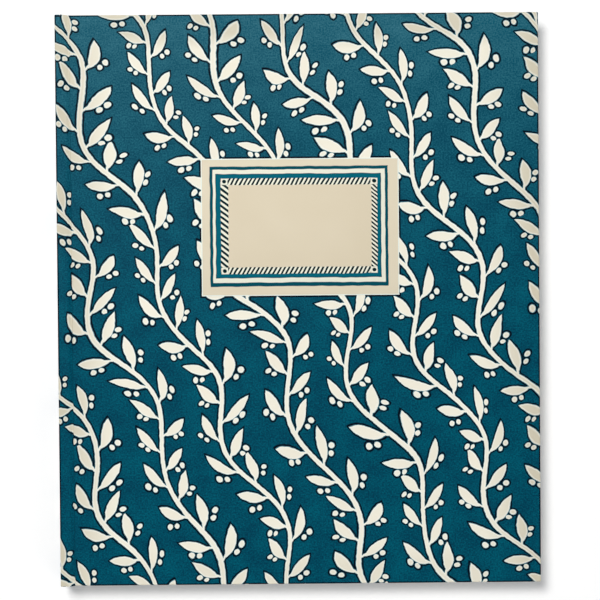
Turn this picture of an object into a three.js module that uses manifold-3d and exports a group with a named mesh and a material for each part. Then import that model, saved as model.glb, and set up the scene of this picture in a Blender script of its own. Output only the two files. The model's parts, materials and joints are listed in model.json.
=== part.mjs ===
// A case-bound hardcover notebook, lying closed on its back cover, in millimetres.
// X runs from the spine to the fore edge, Y from tail to head and Z up from the ground.
// The origin is on the ground, under the middle of the closed book.
// Both covers are drawn once, as the back one with its outer face at zero height; the
// front one is the same, turned over about X at the top of the book.
import * as THREE from 'three';
import { mergeVertices } from 'three/addons/utils/BufferGeometryUtils.js';
import Module from 'manifold-3d';

// Case, with widths and heights measured over the covering paper
const coverWidth = 210;
const coverHeight = 248.5;
const boardThickness = 2.5;
const boardRounding = 0.3;
const spineBoardThickness = 2;
const spineProud = 0.4;
const jointGap = 4.25;
const grooveDepth = 0.7;
const coverPaper = 0.2;
const turnIn = 15;
const mitreSlit = 0.15;
const mitreOverrun = 0.3;

// Title label on the front, from the middle of the cover to the middle of the label
const labelWidth = 86;
const labelHeight = 59.7;
const labelPaper = 0.15;
const labelRounding = 0.0375;
const labelRight = 0.9;
const labelUp = 31.7;

// Text block: folded signatures, of which the ones nearest the front turn
const square = 3;
const signatureCount = 8;
const turningCount = 4;
const signatureThickness = 1.5;
const endpaper = 0.2;
const flyleafGutter = 2.2;
const leafGutter = 3.7;
const gutterStep = 2;
const gutterClearance = 0.6;

// Sewing and spine linings, counted outward from the folds
const stitchStations = 5;
const kettleInset = 18;
const threadDiameter = 0.36;
const stitchSlack = 0.05;
const mullThickness = 0.15;
const mullWing = 25;
const mullInset = 2;
const mullBend = 0.6;
const linerThickness = 0.25;
const linerInset = 2;
const hollow = 0.45;

// Headbands
const beadRadius = 0.9;
const bandTape = 0.25;
const bandTapeLength = 10;
const bandClearance = 0.05;

// Clearances: the air film between glued sheets, the cut across one sheet where it bends,
// and how far a cutting box runs past what it cuts
const film = 0.02;
const seam = 0.1;
const overrun = 1;

// Counts of facets
const roundingSteps = 2;
const grooveSteps = 8;
const stepsPerFold = 4;
const threadSides = 6;

// Heights of the layers, from the outer face of a cover inward
const paperRounding = boardRounding + film + coverPaper;
const zBoard = coverPaper + film;
const zTurnIn = zBoard + boardThickness + film;
const zPastedown = zTurnIn + coverPaper + film;
const zFlyleaf = zPastedown + endpaper + film;
const zBlock = zFlyleaf + endpaper + film;
const signaturePitch = signatureThickness + film;
const blockThickness = signatureCount * signaturePitch - film;
const bookThickness = 2 * zBlock + blockThickness;

// Places across the book, from the spine's outer face inward
const xSpine = -coverWidth / 2;
const xFore = coverWidth / 2;
const xSpineBoard = xSpine + coverPaper + film;
const xSpineInner = xSpineBoard + spineBoardThickness;
const xGroove = xSpineInner + film + coverPaper;
const xBoard = xSpineInner + jointGap;
const xWall = xBoard - film - coverPaper;
const xLiner = xGroove + hollow;
const xMull = xLiner + linerThickness + film;
const xThread = xMull + mullThickness + film;
const xFold = xThread + threadDiameter + stitchSlack;
const xFlyleaf = xFold + flyleafGutter;
const xLeafEdge = xFore - square;

// Half heights, from the middle of the spine's length
const yCover = coverHeight / 2;
const ySpine = yCover + spineProud;
const yLeaf = yCover - square;
const yWindow = yCover - turnIn;
const yMull = yWindow - mullInset;

const wasm = await Module();
wasm.setup();

const paint = (color, roughness) => new THREE.MeshStandardMaterial({ color, roughness, metalness: 0 });
const materials = {
  covering: paint('#1c5563', 0.62),
  board: paint('#8b8478', 0.9),
  label: paint('#e6dcc3', 0.7),
  leaves: paint('#efe8d6', 0.85),
  endpaper: paint('#e9dfc6', 0.8),
  thread: paint('#e8e1cf', 0.75),
  mull: paint('#d8d2c0', 0.9),
  kraft: paint('#a9855a', 0.85),
  band: paint('#dccfae', 0.7),
};

// Three kinds of solid: a box, a box with rounded edges, and an outline drawn in X and Z
// that is extruded along the spine.
function box(x0, x1, y0, y1, z0, z1) {
  const geometry = new THREE.BoxGeometry(x1 - x0, y1 - y0, z1 - z0);
  return geometry.translate((x0 + x1) / 2, (y0 + y1) / 2, (z0 + z1) / 2);
}

function roundedBox(x0, x1, halfY, z0, z1, radius) {
  const outline = new THREE.Shape();
  outline.moveTo(x0 + radius, radius - halfY);
  outline.lineTo(x1 - radius, radius - halfY);
  outline.lineTo(x1 - radius, halfY - radius);
  outline.lineTo(x0 + radius, halfY - radius);
  const geometry = new THREE.ExtrudeGeometry(outline, {
    depth: z1 - z0 - 2 * radius,
    bevelSize: radius,
    bevelThickness: radius,
    bevelSegments: roundingSteps,
  });
  return geometry.translate(0, 0, z0 + radius);
}

function alongSpine(outline, halfY) {
  const geometry = new THREE.ExtrudeGeometry(outline, {
    depth: 2 * halfY,
    bevelEnabled: false,
    curveSegments: roundingSteps,
  });
  return geometry.rotateX(Math.PI / 2).translate(0, halfY, 0);
}

// Booleans on closed meshes
function asSolid(geometry) {
  const bare = geometry.clone();
  bare.deleteAttribute('normal');
  bare.deleteAttribute('uv');
  const merged = mergeVertices(bare, 1e-5);
  return new wasm.Manifold(new wasm.Mesh({
    numProp: 3,
    vertProperties: merged.attributes.position.array,
    triVerts: new Uint32Array(merged.index.array),
  }));
}

function asGeometry(solid) {
  const mesh = solid.getMesh();
  const geometry = new THREE.BufferGeometry();
  geometry.setAttribute('position', new THREE.BufferAttribute(mesh.vertProperties, mesh.numProp));
  geometry.setIndex(new THREE.BufferAttribute(mesh.triVerts, 1));
  geometry.computeVertexNormals();
  return geometry;
}

const cut = (base, ...cutters) =>
  asGeometry(cutters.reduce((solid, cutter) => solid.subtract(asSolid(cutter)), asSolid(base)));

const join = (...geometries) =>
  asGeometry(geometries.map(asSolid).reduce((solid, other) => solid.add(other)));

// A cover board, or with a margin the hollow that the covering paper leaves for it
function boardSolid(margin) {
  return roundedBox(
    xBoard - margin,
    xFore - coverPaper - film + margin,
    yCover - coverPaper - film + margin,
    zBoard - margin,
    zBoard + boardThickness + margin,
    boardRounding + margin,
  );
}

// The slit where two turn-ins meet at forty-five degrees in a corner of the fore edge
function mitreCutter(end) {
  const inner = xFore - turnIn - mitreOverrun;
  const outer = xFore - paperRounding;
  const middle = (inner + outer) / 2;
  const length = (outer - inner) * Math.SQRT2;
  const cutter = new THREE.BoxGeometry(length, mitreSlit, 2 * coverPaper);
  cutter.rotateZ(end * Math.PI / 4);
  return cutter.translate(middle, end * (middle - xFore + yCover), zTurnIn + coverPaper);
}

// Covering paper round a board: one sheet with turn-ins on three sides. On the spine side
// it goes over the board's edge and down to the bottom of the joint groove.
function coverPaperSolid() {
  const top = zTurnIn + 2 * coverPaper;
  return cut(
    boardSolid(film + coverPaper),
    box(xWall - overrun, xBoard, -coverHeight, coverHeight, grooveDepth + coverPaper, top),
    boardSolid(film),
    box(xBoard - overrun, xFore - turnIn, -yWindow, yWindow, zTurnIn - film, top),
    mitreCutter(1),
    mitreCutter(-1),
  );
}

// The spine board, or with a margin the hollow for it
function spineBoardSolid(margin) {
  return roundedBox(
    xSpineBoard - margin,
    xSpineInner + margin,
    ySpine - coverPaper - film + margin,
    zBoard - margin,
    bookThickness - zBoard + margin,
    boardRounding + margin,
  );
}

// Covering paper over the spine's outer face, turned in over the board at head and tail
function spinePaperSolid() {
  const low = paperRounding + seam;
  const high = bookThickness - low;
  const xOutside = xSpine - overrun;
  const xInside = xGroove + overrun;
  return cut(
    spineBoardSolid(film + coverPaper),
    spineBoardSolid(film),
    box(xSpineInner, xInside, turnIn - ySpine, ySpine - turnIn, 0, bookThickness),
    box(xOutside, xInside, -coverHeight, coverHeight, -overrun, low),
    box(xOutside, xInside, -coverHeight, coverHeight, high, bookThickness + overrun),
  );
}

// The line of the pressed groove, from the spine to its bottom at the board's edge, moved
// inward by a depth that is measured square to it
function grooveLine(depth) {
  const width = xWall - seam - xGroove;
  return Array.from({ length: grooveSteps + 1 }, (_, step) => {
    const turn = Math.PI * step / grooveSteps;
    const slope = grooveDepth * Math.PI / (2 * width) * Math.sin(turn);
    const z = grooveDepth * (1 - Math.cos(turn)) / 2;
    const inward = depth / Math.hypot(1, slope);
    return new THREE.Vector2(xGroove + width * step / grooveSteps - slope * inward, z + inward);
  });
}

// Covering paper through a joint: from the corner of the spine to the bottom of the groove,
// doubled where the turn-ins lie under it
function jointStripSolid() {
  const outline = new THREE.Shape();
  outline.moveTo(xSpine, paperRounding);
  outline.absarc(xSpine + paperRounding, paperRounding, paperRounding, Math.PI, 1.5 * Math.PI);
  for (const point of grooveLine(0)) outline.lineTo(point.x, point.y);
  for (const point of grooveLine(2 * coverPaper).reverse()) outline.lineTo(point.x, point.y);
  outline.lineTo(xGroove, paperRounding);

  const window = new THREE.Shape();
  window.moveTo(xSpineInner, boardThickness);
  window.lineTo(xSpineInner, coverPaper);
  for (const point of grooveLine(coverPaper)) window.lineTo(point.x, point.y);
  window.lineTo(xBoard, grooveDepth + coverPaper);
  window.lineTo(xBoard, boardThickness);
  return cut(
    alongSpine(outline, ySpine),
    spineBoardSolid(film),
    alongSpine(window, ySpine - turnIn),
  );
}

// Mull through a joint, from the spine's lining round the block's shoulder to the wing
function jointMullSolid() {
  const x = xMull + mullBend;
  const z = zTurnIn + mullBend;
  const outline = new THREE.Shape();
  outline.moveTo(xBoard - seam, zTurnIn);
  outline.lineTo(x, zTurnIn);
  outline.absarc(x, z, mullBend, 1.5 * Math.PI, Math.PI, true);
  outline.lineTo(xMull + mullThickness, z);
  outline.absarc(x, z, mullBend - mullThickness, Math.PI, 1.5 * Math.PI);
  outline.lineTo(xBoard - seam, zTurnIn + mullThickness);
  return alongSpine(outline, yMull);
}

// The gutter of a folded endpaper, from the pastedown round the fold to the flyleaf
function endpaperFoldSolid() {
  const radius = endpaper + film / 2;
  const x = xFold + radius;
  const z = zPastedown + radius;
  const outline = new THREE.Shape();
  outline.moveTo(xBoard - seam, zPastedown);
  outline.lineTo(x, zPastedown);
  outline.absarc(x, z, radius, 1.5 * Math.PI, 0.5 * Math.PI, true);
  outline.lineTo(xFlyleaf - endpaper, zFlyleaf + endpaper);
  outline.lineTo(xFlyleaf - endpaper, zFlyleaf);
  outline.lineTo(x, zFlyleaf);
  outline.absarc(x, z, film / 2, 0.5 * Math.PI, 1.5 * Math.PI);
  outline.lineTo(xBoard - seam, zPastedown + endpaper);
  return alongSpine(outline, yLeaf);
}

// A pastedown, pressed down to the board inside the turn-ins and clear of the mull's wing
function pastedownSolid() {
  const xPressed = xBoard + mullWing + coverPaper;
  const yPressed = yWindow - coverPaper;
  const xPressedEnd = xFore - turnIn - coverPaper;
  return join(
    box(xBoard, xLeafEdge, -yLeaf, yLeaf, zPastedown, zPastedown + endpaper),
    box(xPressed, xPressedEnd, -yPressed, yPressed, zTurnIn, zPastedown + endpaper / 2),
  );
}

// Folded leaves of one signature, centred on their own thickness: round on the spine side,
// from one place across the book to another
function foldedLeaves(x0, x1) {
  const radius = signatureThickness / 2;
  const outline = new THREE.Shape();
  outline.moveTo(x1, -radius);
  outline.lineTo(x1, radius);
  outline.lineTo(x0 + radius, radius);
  outline.absarc(x0 + radius, 0, radius, 0.5 * Math.PI, 1.5 * Math.PI);
  return alongSpine(outline, yLeaf);
}

// One line of link stitches: a thread that runs over every fold and dips between them
class StitchLine extends THREE.Curve {
  getPoint(t) {
    const z = t * (signatureCount - 1) * signaturePitch;
    const fromFold = z - Math.round(z / signaturePitch) * signaturePitch;
    const foldRadius = signatureThickness / 2;
    const reach = foldRadius + threadDiameter / 2 + stitchSlack;
    const x = xFold + foldRadius - Math.sqrt(reach * reach - fromFold * fromFold);
    return new THREE.Vector3(x, 0, z + zBlock + foldRadius);
  }
}

function stitchSolid() {
  const corners = Array.from({ length: threadSides }, (_, side) => {
    const turn = 2 * Math.PI * side / threadSides;
    return new THREE.Vector2(Math.cos(turn), Math.sin(turn)).multiplyScalar(threadDiameter / 2);
  });
  return new THREE.ExtrudeGeometry(new THREE.Shape(corners), {
    extrudePath: new StitchLine(),
    steps: stepsPerFold * (signatureCount - 1),
  });
}

// A headband: a bead over the ends of the folds, with its tape glued down the spine
function headbandSolid() {
  const x = xThread + beadRadius;
  const y = yLeaf + bandClearance + beadRadius;
  const meet = Math.acos((bandTape - beadRadius) / beadRadius);
  const outline = new THREE.Shape();
  outline.moveTo(xThread, yLeaf - bandTapeLength);
  outline.lineTo(xThread, y);
  outline.absarc(x, y, beadRadius, Math.PI, -meet, true);
  outline.lineTo(xThread + bandTape, yLeaf - bandTapeLength);
  const geometry = new THREE.ExtrudeGeometry(outline, {
    depth: blockThickness,
    bevelEnabled: false,
    curveSegments: 3 * roundingSteps,
  });
  return geometry.translate(0, 0, zBlock);
}

const book = new THREE.Group();

function add(group, name, geometry, material) {
  const mesh = new THREE.Mesh(geometry, material);
  mesh.name = name;
  group.add(mesh);
  return mesh;
}

// Both covers, their endpapers and the flexing strips of their joints
const backSide = new THREE.Group();
const frontSide = new THREE.Group();
frontSide.rotation.x = Math.PI;
frontSide.position.z = bookThickness;
book.add(backSide, frontSide);
for (const [side, group] of [['back', backSide], ['front', frontSide]]) {
  add(group, `${side}_board`, boardSolid(0), materials.board);
  add(group, `${side}_cover_paper`, coverPaperSolid(), materials.covering);
  add(group, `${side}_joint_strip`, jointStripSolid(), materials.covering);
  add(group, `${side}_joint_mull`, jointMullSolid(), materials.mull);
  const wing = box(xBoard, xBoard + mullWing, -yMull, yMull, zTurnIn, zTurnIn + mullThickness);
  add(group, `${side}_mull_wing`, wing, materials.mull);
  add(group, `${side}_pastedown`, pastedownSolid(), materials.endpaper);
  add(group, `${side}_endpaper_fold`, endpaperFoldSolid(), materials.endpaper);
  const flyleaf = box(xFlyleaf, xLeafEdge, -yLeaf, yLeaf, zFlyleaf, zFlyleaf + endpaper);
  add(group, `${side}_flyleaf`, flyleaf, materials.endpaper);
}

const label = roundedBox(
  labelRight - labelWidth / 2,
  labelRight + labelWidth / 2,
  labelHeight / 2,
  bookThickness + film,
  bookThickness + film + labelPaper,
  labelRounding,
);
add(book, 'front_label', label.translate(0, labelUp, 0), materials.label);

// Spine of the case
add(book, 'spine_board', spineBoardSolid(0), materials.board);
add(book, 'spine_cover_paper', spinePaperSolid(), materials.covering);

// Signatures, counted from the front. A turning one is a sewn gutter and the leaves that turn
// about its end.
for (let number = 1; number <= signatureCount; number += 1) {
  const z = bookThickness - zBlock - (number - 1) * signaturePitch - signatureThickness / 2;
  const turns = number <= turningCount;
  const xHinge = xFold + leafGutter + (number - 1) * gutterStep;
  const xEnd = xHinge - signatureThickness / 2 - gutterClearance;
  const signature = foldedLeaves(xFold, turns ? xEnd : xLeafEdge);
  add(book, `signature_${number}`, signature, materials.leaves).position.z = z;
  if (turns) {
    const leaves = foldedLeaves(xHinge - signatureThickness / 2, xLeafEdge);
    add(book, `leaves_${number}`, leaves, materials.leaves).position.z = z;
  }
}

// Lines of stitches, evenly spaced between the two kettle stitches
for (let station = 0; station < stitchStations; station += 1) {
  const thread = add(book, `sewing_thread_${station + 1}`, stitchSolid(), materials.thread);
  const reach = yLeaf - kettleInset;
  thread.position.y = reach * (1 - 2 * station / (stitchStations - 1));
}

// Spine linings and headbands
const zMull = zTurnIn + mullBend + seam;
const spineMull = box(xMull, xMull + mullThickness, -yMull, yMull, zMull, bookThickness - zMull);
add(book, 'spine_mull', spineMull, materials.mull);
const yLiner = yLeaf - linerInset;
const liner = box(xLiner, xLiner + linerThickness, -yLiner, yLiner, zBlock, bookThickness - zBlock);
add(book, 'spine_liner', liner, materials.kraft);
add(book, 'headband', headbandSolid(), materials.band);
const tailband = add(book, 'tailband', headbandSolid(), materials.band);
tailband.rotation.x = Math.PI;
tailband.position.z = bookThickness;

export default book;
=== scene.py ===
import json
import math
import random

import bmesh
import bpy
from mathutils import Matrix, Vector


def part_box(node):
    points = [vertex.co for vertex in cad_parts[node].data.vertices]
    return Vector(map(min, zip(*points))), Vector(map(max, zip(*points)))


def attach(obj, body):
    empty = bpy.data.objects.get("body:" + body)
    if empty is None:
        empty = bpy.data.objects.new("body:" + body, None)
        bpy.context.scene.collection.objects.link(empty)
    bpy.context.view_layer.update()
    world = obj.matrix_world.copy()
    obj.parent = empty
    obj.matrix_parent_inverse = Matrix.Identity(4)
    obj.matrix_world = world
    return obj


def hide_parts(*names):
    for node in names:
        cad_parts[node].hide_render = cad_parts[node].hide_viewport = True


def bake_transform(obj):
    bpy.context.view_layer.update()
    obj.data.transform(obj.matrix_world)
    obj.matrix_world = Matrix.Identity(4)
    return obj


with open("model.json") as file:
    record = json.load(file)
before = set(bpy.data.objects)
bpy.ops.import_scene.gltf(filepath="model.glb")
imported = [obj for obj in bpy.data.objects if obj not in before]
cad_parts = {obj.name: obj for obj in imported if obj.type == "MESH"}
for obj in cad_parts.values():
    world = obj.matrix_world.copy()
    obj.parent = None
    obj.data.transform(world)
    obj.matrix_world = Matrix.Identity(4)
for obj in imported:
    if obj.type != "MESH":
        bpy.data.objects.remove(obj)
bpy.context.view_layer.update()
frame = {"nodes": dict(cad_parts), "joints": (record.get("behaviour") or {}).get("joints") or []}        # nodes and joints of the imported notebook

MM = 0.001


# Covering paper of the two covers and their joints.
# One sheet of printed paper, glued over the boards, pressed down into the joint grooves with
# a bone folder, and turned in at head, tail and fore edge with a slit mitre at each corner.
def place_cube(name, low, high):
    """A cube between two corners, left in edit mode."""
    bpy.ops.object.select_all(action="DESELECT")
    bpy.ops.mesh.primitive_cube_add(size=1, calc_uvs=False, location=(low + high) / 2)
    piece = bpy.context.object
    piece.name = name
    piece.scale = high - low
    bpy.ops.object.transform_apply()
    bpy.ops.object.mode_set(mode="EDIT")
    return piece


def pick(piece, kind, test):
    """Selects each face, edge or vertex all of whose corners pass a test on their place."""
    bpy.ops.mesh.select_mode(type=kind)
    bpy.ops.mesh.select_all(action="DESELECT")
    mesh = bmesh.from_edit_mesh(piece.data)
    if kind == "VERT":
        for corner in mesh.verts:
            corner.select_set(test(corner.co))
    else:
        for part in mesh.edges if kind == "EDGE" else mesh.faces:
            part.select_set(all(test(corner.co) for corner in part.verts))
    bmesh.update_edit_mesh(piece.data)


def pull(x, y, z):
    """Extrudes what is selected and moves it."""
    bpy.ops.mesh.extrude_region_move(TRANSFORM_OT_translate={"value": (x, y, z)})


def round_edges(piece, chosen, radius):
    """Rounds each edge whose two ends pass a test."""
    bpy.ops.mesh.select_mode(type="EDGE")
    mesh = bmesh.from_edit_mesh(piece.data)
    for edge in mesh.edges:
        edge.select_set(chosen(edge.verts[0].co, edge.verts[1].co))
    bmesh.update_edit_mesh(piece.data)
    bpy.ops.mesh.bevel(offset=radius, segments=5, affect="EDGES")


def slice_at(point, normal):
    """Cuts what is selected along a plane. The low threshold keeps close cuts apart."""
    bpy.ops.mesh.bisect(plane_co=point, plane_no=normal, threshold=0.001 * MM)


def thicken(piece, thickness, offset=-1):
    """Leaves edit mode and gives a sheet its thickness, with a second material on the rim."""
    bpy.ops.object.mode_set(mode="OBJECT")
    wall = piece.modifiers.new("thickness", "SOLIDIFY")
    wall.thickness = thickness
    wall.offset = offset
    wall.use_even_offset = True
    wall.material_offset_rim = 1
    bpy.ops.object.modifier_apply(modifier=wall.name)
    bpy.ops.object.shade_smooth_by_angle(angle=math.radians(35))


def turned_over(piece, name):
    """A copy with its own mesh, turned over about the middle of the book's thickness."""
    copy = piece.copy()
    copy.data = piece.data.copy()
    copy.name = copy.data.name = name
    bpy.context.collection.objects.link(copy)
    copy.data.transform(Matrix.Translation((0, 0, book_top)) @ Matrix.Rotation(math.pi, 4, "X"))
    return copy


class Wire:
    """A value that a material works out at each point. Maths on it adds nodes."""

    def __init__(self, paint, socket):
        self.paint = paint
        self.socket = socket

    def maths(self, operation, *values, **settings):
        return self.paint.node("Math", {"operation": operation, **settings}, values)

    def __add__(self, other):
        return self.maths("ADD", self, other)

    def __sub__(self, other):
        return self.maths("SUBTRACT", self, other)

    def __rsub__(self, other):
        return self.maths("SUBTRACT", other, self)

    def __mul__(self, other):
        return self.maths("MULTIPLY", self, other)

    def __truediv__(self, other):
        return self.maths("DIVIDE", self, other)

    def __rtruediv__(self, other):
        return self.maths("DIVIDE", other, self)

    def __abs__(self):
        return self.maths("ABSOLUTE", self)

    __radd__ = __add__
    __rmul__ = __mul__


class Nodes:
    """The means to add nodes to a material or to the world."""

    def __init__(self, tree):
        self.tree = tree

    def feed(self, socket, value):
        if isinstance(value, Wire):
            self.tree.links.new(value.socket, socket)
        elif socket.type == "RGBA":
            socket.default_value = (*value, 1)
        else:
            socket.default_value = value

    def node(self, kind, settings, values, output=0):
        """Adds a node; values are listed in the order of its sockets, or named."""
        made = self.tree.nodes.new("ShaderNode" + kind)
        for name, setting in settings.items():
            setattr(made, name, setting)
        for name, value in values.items() if isinstance(values, dict) else enumerate(values):
            self.feed(made.inputs[name], value)
        return Wire(self, made.outputs[output])

    def place(self):
        return self.node("TexCoord", {}, {}, "Object")

    def parts(self, vector):
        """The three numbers of a place or a colour."""
        made = self.node("SeparateXYZ", {}, [vector])
        return [Wire(self, socket) for socket in made.socket.node.outputs]

    def noise(self, place, size, detail=2, output=0):
        """Soft noise whose lumps are about one size across, in the units of the place."""
        return self.node("TexNoise", {}, {"Vector": place, "Scale": 1 / size, "Detail": detail}, output)

    def mask(self, distance, softness):
        """One where a distance is below zero, fading to none over the softness."""
        return distance.maths("MULTIPLY_ADD", distance, -1 / softness, 0.5, use_clamp=True)

    def mix(self, share, first, second):
        return self.node("Mix", {"data_type": "RGBA"}, {0: share, 6: first, 7: second}, 2)


class Paint(Nodes):
    """A material and its surface."""

    def __init__(self, name, roughness=0.7):
        self.material = bpy.data.materials.new(name)
        self.material.use_nodes = True
        super().__init__(self.material.node_tree)
        self.surface = self.tree.nodes["Principled BSDF"]
        self.surface.inputs["Roughness"].default_value = roughness

    def bump(self, height, depth, strength=1.0):
        values = {"Strength": strength, "Distance": depth, "Height": height}
        self.feed(self.surface.inputs["Normal"], self.node("Bump", {}, values))

    def colour(self, value):
        self.feed(self.surface.inputs["Base Color"], value)

    def roughness(self, value):
        self.feed(self.surface.inputs["Roughness"], value)


def ink(red, green, blue):
    """A colour as a screen shows it, from 0 to 255, turned into light."""
    return tuple(((part / 255 + 0.055) / 1.055) ** 2.4 for part in (red, green, blue))


def length(x, y):
    """How far a point is from the origin."""
    return x.maths("SQRT", x * x + y * y)


def lens(along, across, half_length, half_width):
    """How far a point is outside a leaf shape that is pointed at both ends."""
    radius = (half_length ** 2 + half_width ** 2) / (2 * half_width)
    return length(along, abs(across) + (radius - half_width)) - radius


def smallest(first, *others):
    for other in others:
        first = first.maths("MINIMUM", first, other)
    return first


def largest(first, *others):
    for other in others:
        first = first.maths("MAXIMUM", first, other)
    return first


def trailing_vine(paint, sheet):
    """How far a place on the sheet is outside the vine, in millimetres on the flat sheet.
    The vine is a plain repeat: a waving stem with a pointed leaf and two dots at each step,
    by turns to its left and its right."""
    lean = math.radians(24)
    column_width = 31
    wave_height = 74
    wave_reach = 6
    steps_per_wave = 5
    column_shift = 5.1
    stem_half_width = 1.05
    leaf_half_length, leaf_half_width = 6.6, 2.2
    root, root_drop = 0.4, 5.6
    least_angle, angle_spread = 0.66, 0.22
    leaf_curl, leaf_aside = 0.011, 0.7
    stalk_middle, stalk_half_length, stalk_half_width, stalk_aside = 1.4, 1.7, 0.5, 0.2
    fan_share = 0.75
    dot_places = ((6.6, 5.0, 1.15), (9.2, 3.2, 1.3))
    sway, sway_size = 14, 48
    tremble, tremble_size = 0.6, 2.6

    across, along, _ = paint.parts(sheet)
    sway_x, sway_y, _ = paint.parts(paint.noise(sheet, sway_size, detail=0, output="Color"))
    shake_x, shake_y, _ = paint.parts(paint.noise(sheet, tremble_size, detail=1, output="Color"))
    x = across * math.cos(lean) + along * math.sin(lean)
    x = x + (sway_x - 0.5) * sway + (shake_x - 0.5) * tremble
    y = along * math.cos(lean) - across * math.sin(lean)
    y = y + (sway_y - 0.5) * sway + (shake_y - 0.5) * tremble

    wave = 2 * math.pi / wave_height
    column = x.maths("FLOOR", (x - x.maths("SINE", y * wave) * wave_reach) / column_width)
    x = x - (column + 0.5) * column_width
    off_stem = x - x.maths("SINE", y * wave) * wave_reach
    slope = x.maths("COSINE", y * wave) * (wave_reach * wave)
    foot = y + off_stem * slope / (slope * slope + 1)
    slope = x.maths("COSINE", foot * wave) * (wave_reach * wave)
    aside = x - x.maths("SINE", foot * wave) * wave_reach
    side = x.maths("SIGN", aside)
    out = length(aside, y - foot)

    step = wave_height / steps_per_wave
    climbed = foot + (1 - side) * (step / 4) + column * column_shift
    number = x.maths("FLOOR", climbed / step)
    stretch = x.maths("SQRT", slope * slope + 1)
    fan = side * out * x.maths("SINE", foot * wave) * (wave_reach * wave * wave)
    up = (climbed - (number + 0.5) * step) * (stretch + fan * fan_share)
    leaf_name = paint.node("CombineXYZ", {}, [number, column, side])
    chance = paint.node("TexWhiteNoise", {}, [leaf_name])
    angle = chance * angle_spread + least_angle
    cosine = x.maths("COSINE", angle)
    sine = x.maths("SINE", angle)
    from_root, above_root = out - root, up + root_drop
    ahead = from_root * cosine + above_root * sine
    beside = above_root * cosine - from_root * sine - ahead * ahead * leaf_curl
    leaf_middle = leaf_half_length + stalk_middle
    leaf = lens(ahead - leaf_middle, beside + leaf_aside, leaf_half_length, leaf_half_width)
    stalk = largest(abs(beside + stalk_aside) - stalk_half_width,
                    abs(ahead - stalk_middle) - stalk_half_length)
    dots = [length(out - reach, up + drop) - radius for reach, drop, radius in dot_places]
    return smallest(out - stem_half_width, leaf, stalk, *dots)


def printed_paper():
    """Teal ground and cream vine, printed on uncoated paper that takes the ink unevenly. A dark
    printed outline runs round the vine; painted shade darkens the folds and a painted shadow rims
    the label. Painted light and sheen pale the ground toward the head. The cream is a little
    darker near the edges."""
    outline_width, thin_edge_width, rim_width = 0.72, 0.1, 0.75
    fold_shade_width, label_shadow_width = 0.62, 0.75
    line_softness = 0.3
    sides_reach, sides_most = 24.5, 0.88
    ends_start, ends_fade, ends_most = 1.55, 10, 0.75
    tail_share = 0.35
    patch_share = 0.3
    cloud_share, speck_share, least_grain = 1.25, 2.8, 1.6
    sheen_sharpness = 5

    paint = Paint("covering_paper_print")
    sheet = paint.node("UVMap", {"uv_map": "sheet"}, {})
    vine = trailing_vine(paint, sheet)
    across, along, _ = paint.parts(sheet)
    half_spine = book_top / 2 / MM
    from_spine = abs(across + half_spine) - half_spine
    from_sides = smallest(from_spine, (cover_high.x - strip_low.x + face_start) / MM - from_spine)
    from_ends = cover_high.y / MM - abs(along)
    # A dark line along the folded edges is painted shade.
    painted_fold_shade = abs(smallest(from_sides, from_ends)) - fold_shade_width
    on_cover = across + (strip_low.x - face_start) / MM
    # A dark line round the label is its painted shadow on the covering.
    beside_label = largest(label_low.x / MM - on_cover, on_cover - label_high.x / MM,
                           label_low.y / MM - along, along - label_high.y / MM)
    cream = paint.mask(vine, 0.2)
    outline_and_painted_shade = smallest(vine - outline_width, painted_fold_shade, beside_label - label_shadow_width)
    thin_edge = paint.mask(abs(vine) - thin_edge_width, 0.05)

    clouds = paint.noise(sheet, 11, detail=3)
    specks = paint.noise(sheet, 0.7, detail=2)
    toward_head = along / (2 * cover_high.y / MM) + 0.5
    # The ground is painted paler toward the head, as painted light and sheen falling from there.
    painted_head_sheen = toward_head.maths("POWER", toward_head, sheen_sharpness, use_clamp=True)
    thin_ink = paint.mix(painted_head_sheen, ink(0, 94, 113), ink(57, 115, 131))
    full_ink = paint.mix(painted_head_sheen, ink(0, 60, 82), ink(18, 87, 106))
    grain = clouds * cloud_share + specks * speck_share
    ground = paint.mix(grain.maths("SUBTRACT", grain, least_grain, use_clamp=True), full_ink, thin_ink)
    # The vine's dark outline is print; the dark lines along the folds and round the label are painted
    # shade and a painted shadow.
    ground = paint.mix(paint.mask(outline_and_painted_shade, line_softness), ground, ink(0, 12, 25))
    patches = paint.noise(sheet, 26, detail=2)
    # The cream is a little darker toward the edges, less so toward the tail.
    darker_sides = smallest(1 - from_sides / sides_reach, sides_most)
    darker_ends = smallest(ends_start - from_ends / ends_fade, ends_most)
    darker_ends = darker_ends * (toward_head * (1 - tail_share) + tail_share)
    edge_darkening = largest(darker_sides, darker_ends) + (patches - 0.5) * patch_share
    pale = paint.mix(patches, ink(238, 233, 214), ink(251, 246, 229))
    pale = paint.mix(edge_darkening.maths("MULTIPLY", edge_darkening, 1, use_clamp=True), pale, ink(207, 199, 176))
    pale_rim = paint.mix(0.3, pale, ink(246, 252, 250))
    pale = paint.mix(paint.mask(vine + rim_width, line_softness), pale_rim, pale)
    paint.colour(paint.mix(thin_edge, paint.mix(cream, ground, pale), ink(70, 127, 143)))
    paint.surface.inputs["Specular IOR Level"].default_value = 0.015

    fibres = paint.noise(sheet, 0.35, detail=4)
    paint.roughness(fibres * 0.12 + cream * 0.1 + 0.38)
    paint.bump(fibres * 0.6 + specks * 0.4, 0.03 * MM, 0.5)
    return paint.material


def bare_paper(name, light, dark, grain, roughness, depth):
    """Uncoated paper in its own colour, with its fibres as faint mottling and relief."""
    paint = Paint(name, roughness)
    place = paint.place()
    clouds = paint.noise(place, 18 * MM, detail=2)
    fibres = paint.noise(place, grain, detail=4)
    paint.colour(paint.mix(clouds * 0.5 + fibres * 0.5, dark, light))
    paint.bump(fibres, depth, 0.5)
    return paint.material


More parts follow.
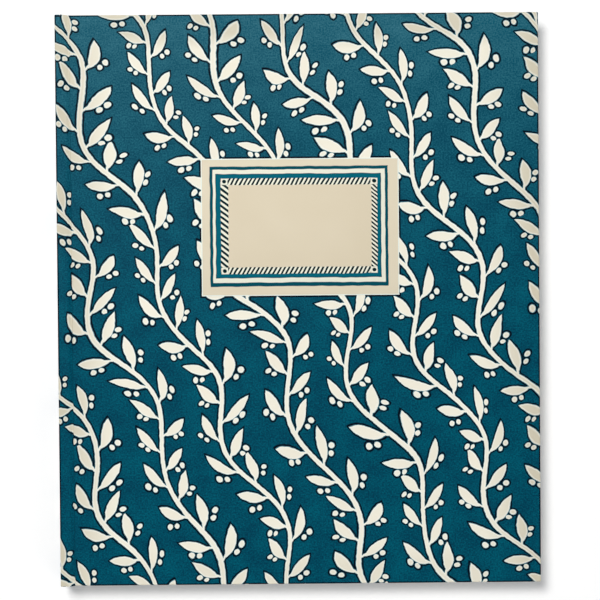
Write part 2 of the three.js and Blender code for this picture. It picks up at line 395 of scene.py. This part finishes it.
cover_low, cover_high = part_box("front_cover_paper")
label_low, label_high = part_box("front_label")
strip_low, strip_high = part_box("front_joint_strip")
book_top = cover_high.z
paper = 0.2 * MM
turn_in = 15 * MM
edge_rounding = 0.52 * MM
groove_steps = 16
crease_share = 0.5
fold_bead = 0.42 * MM
bead_bulge = 0.05 * MM
mitre_slit, mitre_overrun = 0.15 * MM, 0.2 * MM
curve_excess = 1.01
near = 0.01 * MM
groove_depth = 0.56 * MM
groove_floor = book_top - groove_depth
groove_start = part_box("spine_cover_paper")[1].x
x_wall = cover_low.x
groove_width = x_wall - groove_start
groove_length = math.hypot(groove_width, groove_depth) * curve_excess
face_start = groove_length + groove_depth - (x_wall - strip_low.x) + (groove_start - strip_low.x)

print_material = printed_paper()
paper_core = bare_paper("paper_core", ink(236, 230, 214), ink(222, 214, 196), 0.3 * MM,
                        0.8, 0.02 * MM)
covering = place_cube("front_covering", cover_low, cover_high)
covering.data.materials.append(print_material)
covering.data.materials.append(paper_core)
round_edges(covering, lambda a, b: min(a.z, b.z) > book_top - near or max(a.x, b.x) > x_wall + near,
            edge_rounding)

# The wall on the spine side goes down only as far as the floor of the groove
pick(covering, "FACE", lambda p: p.x < x_wall + near)
slice_at((0, 0, groove_floor), (0, 0, 1))
pick(covering, "FACE", lambda p: p.x < x_wall + near and p.z < groove_floor + near)
bpy.ops.mesh.delete(type="FACE")

# Turn-ins on the inner face, with the corners slit at forty-five degrees
x_window = cover_high.x - turn_in
y_window = cover_high.y - turn_in
for point, normal in (((x_window, 0, 0), (1, 0, 0)), ((0, y_window, 0), (0, 1, 0)),
                      ((0, -y_window, 0), (0, 1, 0))):
    pick(covering, "FACE", lambda p: p.z < cover_low.z + near)
    slice_at(point, normal)
pick(covering, "FACE", lambda p: p.z < cover_low.z + near and abs(p.y) < y_window + near
     and p.x < x_window + near)
bpy.ops.mesh.delete(type="FACE")
for end in (1, -1):
    pick(covering, "FACE", lambda p: p.z < cover_low.z + near and p.x > x_window - near
         and end * p.y > y_window - near)
    slice_at((x_window, end * y_window, 0), (1, -end, 0))
    pick(covering, "EDGE", lambda p: p.z < cover_low.z + near and p.x > x_window - near
         and abs(p.x - x_window - end * p.y + y_window) < near)
    bpy.ops.mesh.bevel(offset=mitre_slit / 2, segments=1, affect="EDGES")
    pick(covering, "FACE", lambda p: p.z < cover_low.z + near and p.x > x_window - mitre_overrun
         and abs(p.x - x_window - end * p.y + y_window) < mitre_slit)
    bpy.ops.mesh.delete(type="FACE")

# The groove, pulled out of the bottom of that wall step by step up to the spine
pick(covering, "EDGE", lambda p: p.x < x_wall + near and abs(p.z - groove_floor) < near)
depth_before = groove_depth
half_length = cover_high.y
for step in range(1, groove_steps + 1):
    share = step / groove_steps
    depth = groove_depth * (1 + math.cos(math.pi * min(share / crease_share, 1))) / 2
    pull(-groove_width / groove_steps, 0, depth_before - depth)
    longer = cover_high.y + (strip_high.y - cover_high.y) * share
    bpy.ops.transform.resize(value=(1, longer / half_length, 1))
    depth_before, half_length = depth, longer

# At head and tail the joint's paper folds over in a small bead and is turned in
for end in (1, -1):
    pick(covering, "EDGE", lambda p: p.x < x_wall + near and p.z > groove_floor - near
         and end * p.y > cover_high.y - near and (p.x < x_wall - near or p.z < groove_floor + near))
    pull(0, end * bead_bulge, -fold_bead / 4)
    pull(0, 0, -fold_bead / 2)
    pull(0, -end * bead_bulge, -fold_bead / 4)
    pull(0, -end * turn_in, 0)
thicken(covering, paper)


# Unrolling the sheet: how far each place is from the spine's front edge, and from the middle
# of the book's height, along the paper
def unrolled(place, y_edge, thickness):
    x, y, depth = place.x, place.y, book_top - place.z
    outer_side = depth < thickness - edge_rounding / 2
    if x < x_wall - near:
        across = (x - strip_low.x) + (groove_length - groove_width) * (x - groove_start) / groove_width
        along = abs(y) if abs(y) < y_edge else abs(y) + depth
        return across, math.copysign(along, y)
    across = x - strip_low.x + face_start
    if x < x_wall + edge_rounding and depth < groove_depth + near:
        across -= depth
    along = abs(y)
    if outer_side:
        if x > cover_high.x - edge_rounding:
            across += depth
        if along > y_edge - edge_rounding:
            along += depth
    elif cover_high.x - x < y_edge - along:
        across += thickness + 2 * (cover_high.x - edge_rounding - x)
    else:
        along = 2 * (y_edge - edge_rounding) + thickness - along
    return across, math.copysign(along, y)


def lay_out(piece, side, spread):
    """Writes the place of each corner on the unrolled sheet, in millimetres, as the piece's UVs."""
    layer = piece.data.uv_layers.new(name="sheet")
    for loop in piece.data.loops:
        place = piece.data.vertices[loop.vertex_index].co.copy()
        if side == "back":
            place.z = book_top - place.z
        across, along = spread(place)
        if side == "back":
            across = -book_top - across
        layer.data[loop.index].uv = (across / MM, along / MM)


back_covering = turned_over(covering, "back_covering")
for side, piece in (("front", covering), ("back", back_covering)):
    lay_out(piece, side, lambda place: unrolled(place, cover_high.y, cover_high.z - cover_low.z))
    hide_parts(f"{side}_cover_paper", f"{side}_joint_strip")
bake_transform(covering)
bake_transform(back_covering)


# Covering paper over the spine.
# The middle of the same sheet. It goes round the spine board and is turned in over its head
# and tail, where the board stands a little proud of the covers.
spine_low = Vector((strip_low.x, strip_low.y, 0))
spine_high = Vector((groove_start, strip_high.y, book_top))
spine_covering = place_cube("spine_covering", spine_low, spine_high)
spine_covering.data.materials.append(print_material)
spine_covering.data.materials.append(paper_core)
round_edges(spine_covering, lambda a, b: min(a.x, b.x) < groove_start - near or abs(a.z - b.z) > near,
            edge_rounding)
y_spine_window = spine_high.y - turn_in
for end in (1, -1):
    pick(spine_covering, "FACE", lambda p: p.x > groove_start - near)
    slice_at((0, end * y_spine_window, 0), (0, 1, 0))
pick(spine_covering, "FACE", lambda p: p.x > groove_start - near and abs(p.y) < y_spine_window + near)
bpy.ops.mesh.delete(type="FACE")
thicken(spine_covering, paper)


def unrolled_spine(place):
    depth = book_top - place.z
    from_outside = place.x - spine_low.x
    across, along = -depth, abs(place.y)
    if along > spine_high.y - edge_rounding / 2:
        along += from_outside
    elif depth < edge_rounding:
        across += from_outside
    elif depth > book_top - edge_rounding:
        across -= from_outside
    return across, math.copysign(along, place.y)


lay_out(spine_covering, "front", unrolled_spine)
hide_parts("spine_cover_paper")
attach(spine_covering, "text_block")


# Title label.
# A slip of cream label paper with a common printer's border: two rules round a rope of slanted
# strokes with a dot in each corner, and a blank panel to write in. It is pasted on by hand.
label_rounding = 0.05 * MM
label = place_cube("title_label", label_low, label_high)
pick(label, "EDGE", lambda p: p.z > label_high.z - near)
bpy.ops.mesh.bevel(offset=label_rounding, segments=2, affect="EDGES")
bpy.ops.object.mode_set(mode="OBJECT")
bpy.ops.object.shade_smooth_by_angle(angle=math.radians(35))


def label_print():
    """The border is a nest of frames, each given by its distance from the four edges."""
    wobble, wobble_size = 0.7, 6 * MM
    panel_top, panel_bottom = 11.5, 12.5
    band_line, edge_highlight_width = 0.35, 0.4
    rope_pitch, left_rope_pitch = 1.87, 2.44
    level_slant, left_slant, right_slant = 0.55, 0.75, 0.85
    stroke_sharpness, stroke_middle = 2.6, 0.55
    corner_left, corner_right, corner_top, corner_bottom = 10.1, 10.7, 9.95, 11
    corner_half, dot_radius = 1.45, 0.85
    frame_softness = 0.18

    paint = Paint("label_paper_print", 0.62)
    paint.surface.inputs["Specular IOR Level"].default_value = 0.03
    place = paint.place()
    x, y, _ = paint.parts(place)
    wobble_x, wobble_y, _ = paint.parts(paint.noise(place, wobble_size, detail=1, output="Color"))
    left = (x - label_low.x) / MM + (wobble_x - 0.5) * wobble
    low = (y - label_low.y) / MM + (wobble_y - 0.5) * wobble
    width, height = (label_high.x - label_low.x) / MM, (label_high.y - label_low.y) / MM

    def outside(from_left, from_right, from_top, from_bottom):
        return largest(from_left - left, left - (width - from_right),
                       from_bottom - low, low - (height - from_top))

    rule_outer = outside(3.8, 4.7, 3.4, 4.1)
    rule_inner = outside(5.1, 5.95, 4.75, 5.8)
    band_outer = outside(6.3, 7.7, 6.6, 7.8)
    rope_outer = outside(8.5, 9.35, 8.6, 9.55)
    rope_inner = outside(11.85, 11.95, panel_top, panel_bottom)

    def inside(frame_distance):
        return paint.mask(frame_distance, frame_softness)

    def strokes(distance, pitch):
        """One on each cream stroke and none between, along a distance in millimetres."""
        wave = distance.maths("SINE", distance * (2 * math.pi / pitch))
        return wave.maths("MULTIPLY_ADD", wave, stroke_sharpness, stroke_middle, use_clamp=True)

    level_rope = strokes(left - low * level_slant, rope_pitch)
    left_rope = strokes(low + left * left_slant, left_rope_pitch)
    right_rope = strokes(low + left * right_slant, rope_pitch)
    on_left = paint.mask(left - width / 2, 0.2)
    upright_rope = left_rope * on_left + right_rope * (1 - on_left)
    past_level = largest(panel_bottom - low, low - (height - panel_top))
    upright = paint.mask(past_level, 0.1)
    rope = upright_rope * upright + level_rope * (1 - upright)

    corner_x = smallest(abs(left - corner_left), abs(left - (width - corner_right)))
    corner_y = smallest(abs(low - corner_bottom), abs(low - (height - corner_top)))
    corner = paint.mask(largest(corner_x, corner_y) - corner_half, 0.15)
    dot = paint.mask(length(corner_x, corner_y) - dot_radius, 0.2)
    rope = largest(rope * (1 - corner), corner * (1 - dot))

    specks = paint.noise(place, 0.5 * MM, detail=3)
    clouds = paint.noise(place, 20 * MM, detail=1)
    stock = paint.mix(clouds, ink(226, 214, 188), ink(231, 221, 197))
    bright = paint.mix(specks, ink(233, 232, 212), ink(242, 242, 226))
    teal = paint.mix(specks, ink(0, 92, 111), ink(0, 102, 122))
    deep_teal = paint.mix(specks, ink(0, 69, 84), ink(0, 82, 97))
    shade = paint.mix(rope, ink(6, 34, 38), bright)
    colour = paint.mix(inside(rule_outer), stock, deep_teal)
    colour = paint.mix(inside(rule_inner), colour, bright)
    colour = paint.mix(inside(band_outer), colour, deep_teal)
    colour = paint.mix(inside(band_outer + band_line), colour, teal)
    colour = paint.mix(inside(rope_outer), colour, shade)
    panel = paint.mix(clouds, ink(221, 208, 181), ink(227, 215, 190))
    colour = paint.mix(inside(rope_inner), colour, panel)
    # A pale line just inside the label's edges is a painted highlight.
    from_cut = smallest(x - label_low.x, label_high.x - x, y - label_low.y, label_high.y - y)
    painted_edge_highlight = paint.mask(from_cut / MM - edge_highlight_width, 0.2)
    paint.colour(paint.mix(painted_edge_highlight, colour, ink(238, 247, 239)))
    fibres = paint.noise(place, 0.3 * MM, detail=4)
    paint.bump(fibres, 0.02 * MM, 0.5)
    return paint.material


label.data.materials.append(label_print())
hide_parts("front_label")
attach(label, "front_cover")


# Cover boards and spine board.
# Grey board, pressed from waste paper in layers. They keep their solids and get the speckle
# and the dark flakes of such board.
def repaint(material, *names):
    for name in names:
        for slot in frame["nodes"][name].material_slots:
            slot.material = material


def grey_board():
    paint = Paint("grey_board", 0.9)
    place = paint.place()
    specks = paint.noise(place, 0.8 * MM, detail=5)
    flakes = paint.node("TexVoronoi", {}, {"Vector": place, "Scale": 1 / (1.6 * MM)}, "Distance")
    colour = paint.mix(specks, ink(122, 116, 104), ink(158, 151, 138))
    dark = flakes.maths("MULTIPLY_ADD", flakes, -6, 0.9, use_clamp=True)
    paint.colour(paint.mix(dark * 0.5, colour, ink(98, 92, 84)))
    paint.bump(specks, 0.05 * MM, 0.6)
    return paint.material


repaint(grey_board(), "front_board", "back_board", "spine_board")


# Endpapers.
# A folded sheet at each end of the block. One half is the pastedown, glued to the board over
# the turn-ins, whose edges show through it. The other half is the flyleaf, free to turn.
endpaper = 0.2 * MM
press_softness = 0.5 * MM
pastedown_low, pastedown_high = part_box("back_pastedown")
fold_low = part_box("back_endpaper_fold")[0]
flyleaf_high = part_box("back_flyleaf")[1]
mull_wing_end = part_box("back_mull_wing")[1].x
pasted_level = pastedown_high.z - endpaper / 2
flyleaf_level = flyleaf_high.z - endpaper / 2
pressed_by = pastedown_high.z - pastedown_low.z - endpaper
fold_radius = (flyleaf_level - pasted_level) / 2
fold_centre = fold_low.x + endpaper / 2 + fold_radius


def place_sheet(name, x_start, x_end, half_length, level):
    """A flat sheet across the book, left in edit mode."""
    bpy.ops.object.select_all(action="DESELECT")
    middle = ((x_start + x_end) / 2, 0, level)
    bpy.ops.mesh.primitive_plane_add(size=1, calc_uvs=False, location=middle)
    piece = bpy.context.object
    piece.name = name
    piece.scale = (x_end - x_start, 2 * half_length, 1)
    bpy.ops.object.transform_apply()
    bpy.ops.object.mode_set(mode="EDIT")
    return piece


def slice_many(places, axis):
    for place in places:
        bpy.ops.mesh.select_all(action="SELECT")
        slice_at(Vector(axis) * place, axis)


half_leaf = pastedown_high.y
pastedown = place_sheet("back_endpaper_pasted", fold_centre, pastedown_high.x, half_leaf, pasted_level)
x_pressed = (mull_wing_end, x_window)
y_pressed = (-y_window, y_window)
steps = [-press_softness / 2, 0, press_softness / 2]
slice_many([place + step for place in x_pressed for step in steps], (1, 0, 0))
slice_many([place + step for place in y_pressed for step in steps], (0, 1, 0))
flex_start, flex_end = fold_centre + 0.1 * MM, fold_centre + 0.75 * MM
flex_cuts = 12
past_flex = (1 * MM, 1.6 * MM)
slice_many([flex_start + (flex_end - flex_start) * cut / flex_cuts for cut in range(flex_cuts + 1)],
           (1, 0, 0))
slice_many([flex_end + further for further in past_flex], (1, 0, 0))


def pressed_share(place):
    """How far a place is pressed down: all the way inside the turn-ins and past the mull."""
    inward = min(place.x - x_pressed[0], x_pressed[1] - place.x, y_pressed[1] - abs(place.y))
    return min(max(inward / press_softness + 0.5, 0), 1)


for share in (0.5, 1):
    pick(pastedown, "VERT", lambda p: abs(pressed_share(p) - share) < 0.1)
    bpy.ops.transform.translate(value=(0, 0, -pressed_by * share))
thicken(pastedown, endpaper, offset=0)

flyleaf = place_sheet("back_endpaper_flyleaf", fold_centre, flyleaf_high.x, half_leaf, flyleaf_level)
hinge_at = {joint["name"]: Vector(joint["pos_m"]) for joint in frame["joints"]}
flyleaf_hinge = hinge_at["back_flyleaf_turn"].x
flyleaf_flex = 0.9 * MM
flyleaf_cuts = 6
slice_many([flyleaf_hinge + flyleaf_flex * cut / flyleaf_cuts
            for cut in range(-flyleaf_cuts, flyleaf_cuts + 1)], (1, 0, 0))
pick(flyleaf, "EDGE", lambda p: p.x < fold_centre + near)
bpy.ops.mesh.spin(steps=6, angle=math.pi, center=(fold_centre, 0, (flyleaf_level + pasted_level) / 2),
                  axis=(0, -1, 0))
thicken(flyleaf, endpaper, offset=0)

endpaper_material = bare_paper("endpaper", ink(238, 230, 210), ink(226, 216, 193), 0.5 * MM,
                               0.75, 0.02 * MM)
for piece in (pastedown, flyleaf):
    piece.data.materials.append(endpaper_material)
front_pastedown = turned_over(pastedown, "front_endpaper_pasted")
front_flyleaf = turned_over(flyleaf, "front_endpaper_flyleaf")
for side, pasted, free in (("back", pastedown, flyleaf), ("front", front_pastedown, front_flyleaf)):
    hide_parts(f"{side}_pastedown", f"{side}_endpaper_fold")
    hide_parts(f"{side}_flyleaf")
    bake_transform(free)
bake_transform(pastedown)
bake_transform(front_pastedown)


# Signatures.
# Six sheets of ivory writing paper, folded once and nested, so twelve leaves. The sheets are
# folded by hand, sewn through the fold and trimmed in the block.
sheets_per_signature = 6
signature_low, signature_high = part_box("signature_8")
signature_middle = (signature_low.z + signature_high.z) / 2
leaf_pitch = (signature_high.z - signature_low.z) / (2 * sheets_per_signature)
leaf_thickness = 0.115 * MM
fold_place = signature_low.x + (signature_high.z - signature_low.z) / 2
turn_flex = 1.6 * MM
finest_column = 0.4 * MM
last_hinge = hinge_at["leaves_4_turn"].x + turn_flex
uneven_edge, uneven_ends = 0.06, 0.04
trim = random.Random(5)
sheets = []
for number in range(sheets_per_signature):
    radius = (number + 0.5) * leaf_pitch
    x_trimmed = signature_high.x - trim.uniform(0, uneven_edge) * MM
    half = half_leaf - trim.uniform(0, uneven_ends) * MM
    sheet = place_sheet(f"sheet_{number}", fold_place, x_trimmed, half, signature_middle + radius)
    columns = round((last_hinge - fold_place) / finest_column)
    slice_many([fold_place + finest_column * (column + 1) for column in range(columns)], (1, 0, 0))
    pick(sheet, "EDGE", lambda p: p.x < fold_place + near)
    bpy.ops.mesh.spin(steps=6, angle=math.pi, center=(fold_place, 0, signature_middle), axis=(0, -1, 0))
    for column in range(columns):
        pull(finest_column, 0, 0)
    pull(x_trimmed - fold_place - columns * finest_column, 0, 0)
    thicken(sheet, leaf_thickness, offset=0)
    sheets.append(sheet)
bpy.ops.object.select_all(action="DESELECT")
for sheet in sheets:
    sheet.select_set(True)
bpy.ops.object.join()
pattern_signature = bpy.context.object

leaf_material = bare_paper("leaf_paper", ink(240, 234, 216), ink(229, 221, 200), 0.4 * MM,
                           0.85, 0.02 * MM)
pattern_signature.data.materials.append(leaf_material)
signatures = {8: pattern_signature}
for number in range(1, 8):
    signature = signatures[number] = pattern_signature.copy()
    signature.data = pattern_signature.data.copy()
    bpy.context.collection.objects.link(signature)
    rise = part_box(f"signature_{number}")[0].z - signature_low.z
    signature.data.transform(Matrix.Translation((0, 0, rise)))
for number, signature in signatures.items():
    signature.name = signature.data.name = f"folded_signature_{number}"
    if number <= 4:
        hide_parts(f"signature_{number}", f"leaves_{number}")
        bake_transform(signature)
    else:
        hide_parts(f"signature_{number}")
        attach(signature, "text_block")


# Sewing thread.
# Waxed linen, linked from fold to fold at five stations. The grooves of its twist are painted darker,
# as shade.
def waxed_linen():
    paint = Paint("waxed_linen", 0.55)
    place = paint.place()
    twist = paint.node("TexWave", {"bands_direction": "DIAGONAL"},
                       {"Vector": place, "Scale": 1 / (0.9 * MM), "Distortion": 0.6}, "Fac")
    # The darker bands lie in the grooves of the twist, where the bump is low: painted shade.
    paint.colour(paint.mix(twist, ink(196, 184, 152), ink(236, 228, 204)))
    paint.bump(twist, 0.04 * MM)
    return paint.material


repaint(waxed_linen(), *[f"sewing_thread_{station}" for station in range(1, 6)])


# Mull.
# Open cotton gauze, glued over the folds and out over both boards under the pastedowns. It
# carries the block in its case and flexes in the joints.
def gauze():
    paint = Paint("gauze", 0.9)
    x, y, z = paint.parts(paint.place())
    count = 2 * math.pi / (0.9 * MM)
    warp = abs(x.maths("SINE", (x + z) * count))
    weft = abs(y.maths("SINE", y * count))
    weave = largest(warp, weft)
    paint.colour(paint.mix(weave, ink(176, 168, 146), ink(232, 226, 208)))
    paint.bump(weave, 0.08 * MM)
    return paint.material


gauze_material = gauze()
repaint(gauze_material, "spine_mull")
mull_low, mull_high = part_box("back_joint_mull")
wing_low, wing_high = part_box("back_mull_wing")
mull_thickness = wing_high.z - wing_low.z
mull_level = (wing_low.z + wing_high.z) / 2
mull_turn = 0.6 * MM
mull_bend = mull_turn - mull_thickness / 2
mull_corner = mull_low.x + mull_turn
mull_cuts, mull_cut_width = 12, 0.1 * MM
mull = place_sheet("back_mull", mull_corner, wing_high.x, mull_high.y, mull_level)
slice_many([mull_corner + mull_cut_width * cut for cut in range(1, mull_cuts)], (1, 0, 0))
pick(mull, "EDGE", lambda p: p.x < mull_corner + near)
bpy.ops.mesh.spin(steps=5, angle=math.pi / 2, center=(mull_corner, 0, mull_level + mull_bend),
                  axis=(0, 1, 0))
thicken(mull, mull_thickness, offset=0)
mull.data.materials.append(gauze_material)
front_mull = turned_over(mull, "front_mull")
for side, piece in (("back", mull), ("front", front_mull)):
    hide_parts(f"{side}_joint_mull", f"{side}_mull_wing")
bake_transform(mull)
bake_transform(front_mull)


# Spine liner.
# Brown kraft paper, glued over the mull to stiffen the spine of the block.
kraft = bare_paper("kraft", ink(178, 142, 98), ink(150, 116, 76), 0.6 * MM, 0.85, 0.03 * MM)
repaint(kraft, "spine_liner")


# Headbands.
# Ribbed cream cloth wound over a cord, glued to the ends of the folds at head and tail.
band_low, band_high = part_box("headband")
band_radius = (band_high.x - band_low.x) / 2
tape_thickness = 0.25 * MM
rib_count = 22
rib_pitch = (band_high.z - band_low.z) / rib_count
rib_sides = 14
ring_sizes = (0.9, 0.975, 1, 0.975)


def band_cloth():
    paint = Paint("headband_cloth", 0.7)
    place = paint.place()
    z = paint.parts(place)[2]
    rib = z.maths("SINE", (z - band_low.z) * (2 * math.pi / rib_pitch))
    fibres = paint.noise(place, 0.2 * MM, detail=3)
    paint.colour(paint.mix(rib * 0.35 + fibres * 0.4 + 0.3, ink(186, 172, 136), ink(233, 223, 194)))
    paint.bump(fibres, 0.03 * MM)
    return paint.material


bpy.ops.object.select_all(action="DESELECT")
bead_middle = Vector((band_low.x + band_radius, band_high.y - band_radius,
                      (band_low.z + band_high.z) / 2))
bpy.ops.mesh.primitive_cylinder_add(vertices=rib_sides, radius=band_radius, calc_uvs=False,
                                    depth=band_high.z - band_low.z, location=bead_middle)
band = bpy.context.object
band.name = "headband_bead"
bpy.ops.object.transform_apply()
bpy.ops.object.mode_set(mode="EDIT")

# Each rib is four rings of the bead, the narrowest where it meets the next rib
ring_step = rib_pitch / len(ring_sizes)
ring_count = len(ring_sizes) * rib_count
slice_many([band_low.z + ring_step * ring for ring in range(1, ring_count)], (0, 0, 1))
for ring in range(ring_count + 1):
    height = band_low.z + ring_step * ring
    pick(band, "VERT", lambda p: abs(p.z - height) < near)
    size = ring_sizes[ring % len(ring_sizes)]
    bpy.ops.transform.resize(value=(size, size, 1))
bpy.ops.object.mode_set(mode="OBJECT")
tape_high = Vector((band_low.x + tape_thickness, band_high.y - band_radius, band_high.z))
place_cube("tape", band_low, tape_high)
bpy.ops.object.mode_set(mode="OBJECT")
band.select_set(True)
bpy.context.view_layer.objects.active = band
bpy.ops.object.join()
bpy.ops.object.shade_smooth_by_angle(angle=math.radians(50))
band.data.materials.append(band_cloth())
tail_band = turned_over(band, "tailband_bead")
for piece, node in ((band, "headband"), (tail_band, "tailband")):
    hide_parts(node)
    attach(piece, "text_block")


# Table, light and camera.
# The notebook lies on a plain white ground under a broad soft light at the upper left, and the
# camera looks straight down from a metre up.
bpy.ops.object.select_all(action="DESELECT")
bpy.ops.mesh.primitive_plane_add(size=6, location=(0, 0, 0))
floor = bpy.context.object
floor.name = "floor"


def background_share(nodes):
    """One for a ray that shows the background, none for the light that falls on the notebook."""
    return largest(*[nodes.node("LightPath", {}, {}, f"Is {kind} Ray")
                     for kind in ("Camera", "Glossy", "Transmission")])


# The lamps reach only the ground round the notebook, so it glows white further out. A little
# of the same cool glow near the notebook tints its shadow.
floor_paint = Paint("white_ground", 0.9)
lit_reach, lit_fade = 0.6, 0.8
near_glow, glow_colour = 0.18, (0.88, 0.93, 1)
x, y, _ = floor_paint.parts(floor_paint.place())
far = 1 - floor_paint.mask(length(x, y) - lit_reach, lit_fade)
shown = background_share(floor_paint) * (far * (1 - near_glow) + near_glow)
diffuse = floor_paint.node("BsdfDiffuse", {}, {"Color": (0.925, 0.915, 0.905)})
glow = floor_paint.node("Emission", {}, {"Color": glow_colour, "Strength": shown})
both = floor_paint.node("AddShader", {}, [diffuse, glow])
floor_paint.feed(floor_paint.tree.nodes["Material Output"].inputs["Surface"], both)
floor.data.materials.append(floor_paint.material)


def soft_light(name, place, size, power):
    """A square lamp that looks at the middle of the notebook."""
    lamp = bpy.data.lights.new(name, "AREA")
    lamp.size = size
    lamp.energy = power
    light = bpy.data.objects.new(name, lamp)
    light.location = place
    light.rotation_euler = (-Vector(place)).to_track_quat("-Z", "Y").to_euler()
    bpy.context.collection.objects.link(light)


soft_light("key", (-0.42, 0.62, 2.0), 0.56, 34)
soft_light("fill", (1.5, -1.4, 1.6), 1.2, 5)

world = bpy.data.worlds.new("studio")
world.use_nodes = True
air = Nodes(world.node_tree)
sky = world.node_tree.nodes["Background"]
air.feed(sky.inputs["Color"], (1, 1, 1))
plain_light = 0.23
air.feed(sky.inputs["Strength"], background_share(air) * (1 - plain_light) + plain_light)
bpy.context.scene.world = world

camera_data = bpy.data.cameras.new("camera")
camera_data.lens = 135.2
camera_data.sensor_width = 36
camera = bpy.data.objects.new("camera", camera_data)
camera.location = (-0.00556, 0.02654, 1.0)
camera.rotation_euler = (math.radians(-1.553), math.radians(-0.371), math.radians(-0.475))
bpy.context.collection.objects.link(camera)
bpy.context.scene.camera = camera
bpy.context.scene.view_settings.view_transform = "Standard"
